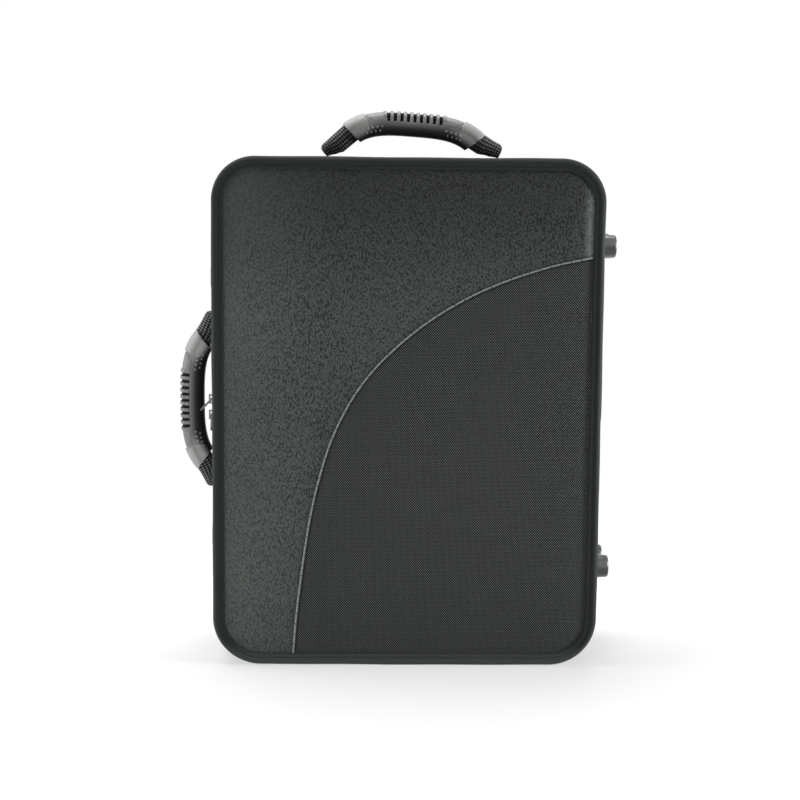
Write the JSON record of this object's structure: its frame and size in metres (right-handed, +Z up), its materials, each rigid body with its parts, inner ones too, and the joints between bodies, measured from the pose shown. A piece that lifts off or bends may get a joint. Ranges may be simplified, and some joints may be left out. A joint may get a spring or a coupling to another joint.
{
  "type": "clarinet case",
  "caption": "Soft-covered double clarinet case with a zip, a hinged padded lid, fitted compartments, carrying handles, strap rings and side feet.",
  "frame": {"origin": "middle of the bounding box's underside, on the surface that the case stands on", "axes": "+Z up along the case's length, +Y from the lid's face to the back, +X to the side with the hinge and the feet"},
  "size_m": [0.352, 0.114, 0.4374],
  "materials": {
    "leather": "pebbled, soft sheen",
    "nylon": "woven, matte",
    "binding": "smooth woven tape",
    "grip": "matte moulded",
    "mesh": "braided",
    "metal": "dark polished",
    "gloss": "glossy black",
    "plush": "short plush over foam",
    "board": "plain ply",
    "webbing": "woven tape"
  },
  "bodies": {
    "base": {"base_shell": "board", "base_back_board": "board", "base_back_cover": "nylon", "base_side_cover": "nylon", "base_binding": "binding", "base_lining": "plush", "zipper_teeth_base": "webbing", "zipper_tape_base": "webbing", "hinge_strip_base": "nylon", "foot_1": "gloss", "foot_2": "gloss", "foot_3": "gloss", "foot_4": "gloss", "foot_screw_1": "metal", "foot_screw_2": "metal", "foot_screw_3": "metal", "foot_screw_4": "metal", "joint_bed": "plush", "bell_bed": "plush", "cross_wall": "plush", "lane_divider_1": "plush", "lane_divider_2": "plush", "lane_divider_3": "plush", "lane_divider_4": "plush", "lane_divider_5": "plush", "barrel_stop_1": "plush", "barrel_stop_2": "plush", "bell_divider_1": "plush", "bell_divider_2": "plush", "ring_tab_upper": "webbing", "ring_tab_lower": "webbing", "top_anchor_left": "webbing", "top_anchor_right": "webbing", "side_anchor_lower": "webbing", "side_anchor_upper": "webbing"},
    "lid": {"lid_shell": "board", "lid_board": "board", "lid_side_cover": "nylon", "leather_panel": "leather", "nylon_panel": "nylon", "lid_binding": "binding", "lid_lining": "plush", "document_pocket": "nylon", "zipper_teeth_lid": "webbing", "zipper_tape_lid": "webbing", "hinge_strip_lid": "nylon"},
    "top_handle": {"top_grip": "grip", "top_sleeve_left": "mesh", "top_sleeve_right": "mesh"},
    "side_handle": {"side_grip": "grip", "side_sleeve_lower": "mesh", "side_sleeve_upper": "mesh"},
    "upper_slider": {"zip_slider_upper": "metal"},
    "lower_slider": {"zip_slider_lower": "metal"},
    "upper_pull": {"zip_pull_upper": "metal"},
    "lower_pull": {"zip_pull_lower": "metal"},
    "upper_ring": {"ring_upper": "metal"},
    "lower_ring": {"ring_lower": "metal"}
  },
  "joints": [
    {"name": "lid_hinge", "type": "hinge", "parent": "base", "child": "lid", "pos_m": [0.16085, -0.021, 0.2], "axis": [0, 0, 1], "range_deg": [0, 110]},
    {"name": "top_handle_swing", "type": "hinge", "parent": "base", "child": "top_handle", "pos_m": [0.01285, 0.024, 0.4052], "axis": [1, 0, 0], "range_deg": [-50, 50]},
    {"name": "side_handle_swing", "type": "hinge", "parent": "base", "child": "side_handle", "pos_m": [-0.14835, 0.024, 0.2022], "axis": [0, 0, 1], "range_deg": [-50, 50]},
    {"name": "upper_slider_travel", "type": "slide", "parent": "base", "child": "upper_slider", "axis": [0, 0, 1], "range_m": [0, 0.145]},
    {"name": "lower_slider_travel", "type": "slide", "parent": "base", "child": "lower_slider", "axis": [0, 0, -1], "range_m": [0, 0.145]},
    {"name": "upper_pull_swing", "type": "hinge", "parent": "upper_slider", "child": "upper_pull", "pos_m": [-0.14595, -0.021, 0.2083], "axis": [0, 1, 0], "range_deg": [-22, 128]},
    {"name": "lower_pull_swing", "type": "hinge", "parent": "lower_slider", "child": "lower_pull", "pos_m": [-0.14595, -0.021, 0.1957], "axis": [0, 1, 0], "range_deg": [0, 60]},
    {"name": "upper_ring_swing", "type": "hinge", "parent": "base", "child": "upper_ring", "pos_m": [-0.14455, 0.001, 0.305], "axis": [0, 0, 1], "range_deg": [-150, 3]},
    {"name": "lower_ring_swing", "type": "hinge", "parent": "base", "child": "lower_ring", "pos_m": [-0.14455, 0.001, 0.095], "axis": [0, 0, 1], "range_deg": [-150, 3]}
  ]
}
